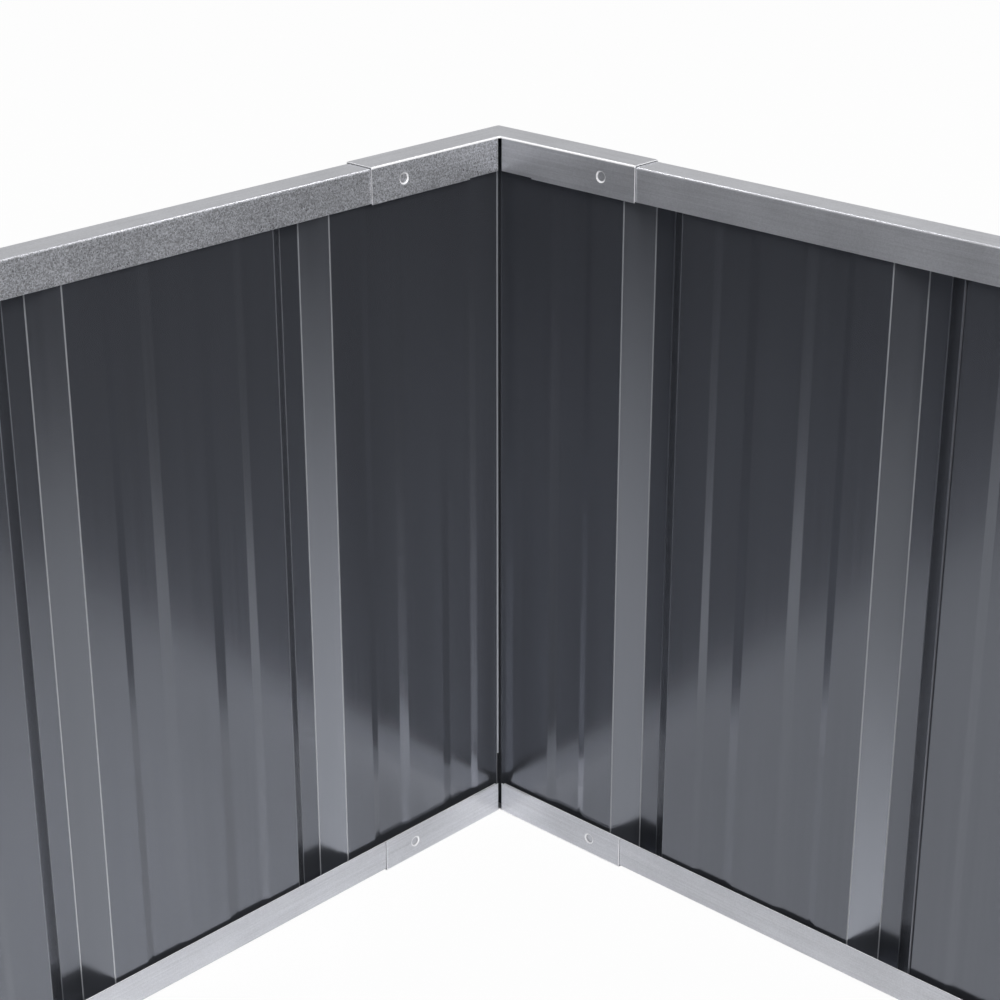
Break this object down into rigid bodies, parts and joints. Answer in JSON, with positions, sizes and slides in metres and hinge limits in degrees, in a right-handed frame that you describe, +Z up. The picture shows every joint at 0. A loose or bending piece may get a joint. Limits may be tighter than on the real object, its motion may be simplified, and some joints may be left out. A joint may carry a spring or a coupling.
{
  "type": "raised garden bed",
  "caption": "Open-bottomed square raised garden bed of ribbed sheet-steel walls held in galvanised channel rings with L-shaped corner caps.",
  "frame": {"origin": "on the ground at the middle of the bed", "axes": "+Z up; +X along the back and front walls; +Y towards the back wall"},
  "size_m": [1.0052, 1.0052, 0.45],
  "materials": {
    "galvanised_steel": "hot-dip galvanised, faint spangle",
    "anthracite_paint": "glossy coil paint",
    "zinc_plate": "bright zinc plate"
  },
  "bodies": {
    "root": {"bottom_rail_back": "galvanised_steel", "top_rail_back": "galvanised_steel", "wall_sheet_back_short": "anthracite_paint", "wall_sheet_back_long": "anthracite_paint", "bottom_rail_front": "galvanised_steel", "top_rail_front": "galvanised_steel", "wall_sheet_front_short": "anthracite_paint", "wall_sheet_front_long": "anthracite_paint", "bottom_rail_left": "galvanised_steel", "top_rail_left": "galvanised_steel", "wall_sheet_left_short": "anthracite_paint", "wall_sheet_left_long": "anthracite_paint", "bottom_rail_right": "galvanised_steel", "top_rail_right": "galvanised_steel", "wall_sheet_right_short": "anthracite_paint", "wall_sheet_right_long": "anthracite_paint", "bottom_corner_cap_back_left": "galvanised_steel", "top_corner_cap_back_left": "galvanised_steel", "corner_post_back_left": "anthracite_paint", "bottom_screw_back_left_a": "zinc_plate", "bottom_screw_back_left_b": "zinc_plate", "top_screw_back_left_a": "zinc_plate", "top_screw_back_left_b": "zinc_plate", "bottom_corner_cap_front_left": "galvanised_steel", "top_corner_cap_front_left": "galvanised_steel", "corner_post_front_left": "anthracite_paint", "bottom_screw_front_left_a": "zinc_plate", "bottom_screw_front_left_b": "zinc_plate", "top_screw_front_left_a": "zinc_plate", "top_screw_front_left_b": "zinc_plate", "bottom_corner_cap_front_right": "galvanised_steel", "top_corner_cap_front_right": "galvanised_steel", "corner_post_front_right": "anthracite_paint", "bottom_screw_front_right_a": "zinc_plate", "bottom_screw_front_right_b": "zinc_plate", "top_screw_front_right_a": "zinc_plate", "top_screw_front_right_b": "zinc_plate", "bottom_corner_cap_back_right": "galvanised_steel", "top_corner_cap_back_right": "galvanised_steel", "corner_post_back_right": "anthracite_paint", "bottom_screw_back_right_a": "zinc_plate", "bottom_screw_back_right_b": "zinc_plate", "top_screw_back_right_a": "zinc_plate", "top_screw_back_right_b": "zinc_plate"}
  },
  "joints": []
}
